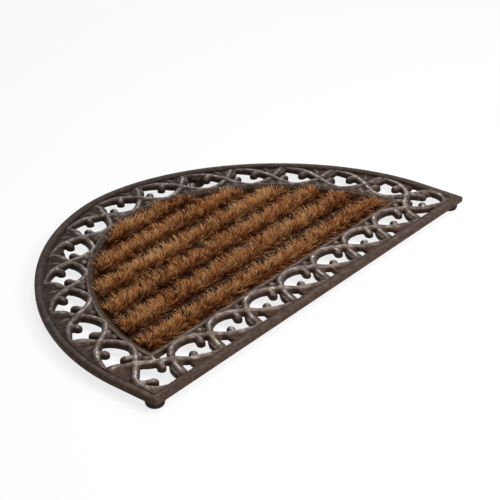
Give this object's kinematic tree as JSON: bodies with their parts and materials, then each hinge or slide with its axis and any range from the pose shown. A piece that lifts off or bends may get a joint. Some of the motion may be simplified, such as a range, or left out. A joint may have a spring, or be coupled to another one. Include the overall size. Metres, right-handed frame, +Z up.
{
  "type": "boot scraper mat",
  "caption": "Half-round cast iron boot scraper mat: openwork scroll border and cross bars round upright coir brush rows on boards, standing on push-in rubber feet.",
  "frame": {"origin": "on the floor, under the middle of the outline's box", "axes": "+X along the straight front edge, +Y towards the rounded back, +Z up"},
  "size_m": [0.6, 0.37, 0.022],
  "materials": {
    "cast_iron": "antique brown, satin, worn grey-brown on the raised tops",
    "coir": "matt coconut fibre, dark at the roots and bright at the tips",
    "board_wood": "unpainted, matt",
    "screw_steel": "zinc plated",
    "foot_rubber": "matt black"
  },
  "bodies": {
    "root": {"cast_frame": "cast_iron", "brush_board_front": "board_wood", "coir_bristles_front": "coir", "screw_front_left": "screw_steel", "screw_front_middle": "screw_steel", "screw_front_right": "screw_steel", "brush_board_middle": "board_wood", "coir_bristles_middle": "coir", "screw_middle_left": "screw_steel", "screw_middle_middle": "screw_steel", "screw_middle_right": "screw_steel", "brush_board_back": "board_wood", "coir_bristles_back": "coir", "screw_back_left": "screw_steel", "screw_back_middle": "screw_steel", "screw_back_right": "screw_steel", "foot_front_left": "foot_rubber", "foot_front_right": "foot_rubber", "foot_back_left": "foot_rubber", "foot_back_right": "foot_rubber"}
  },
  "joints": []
}
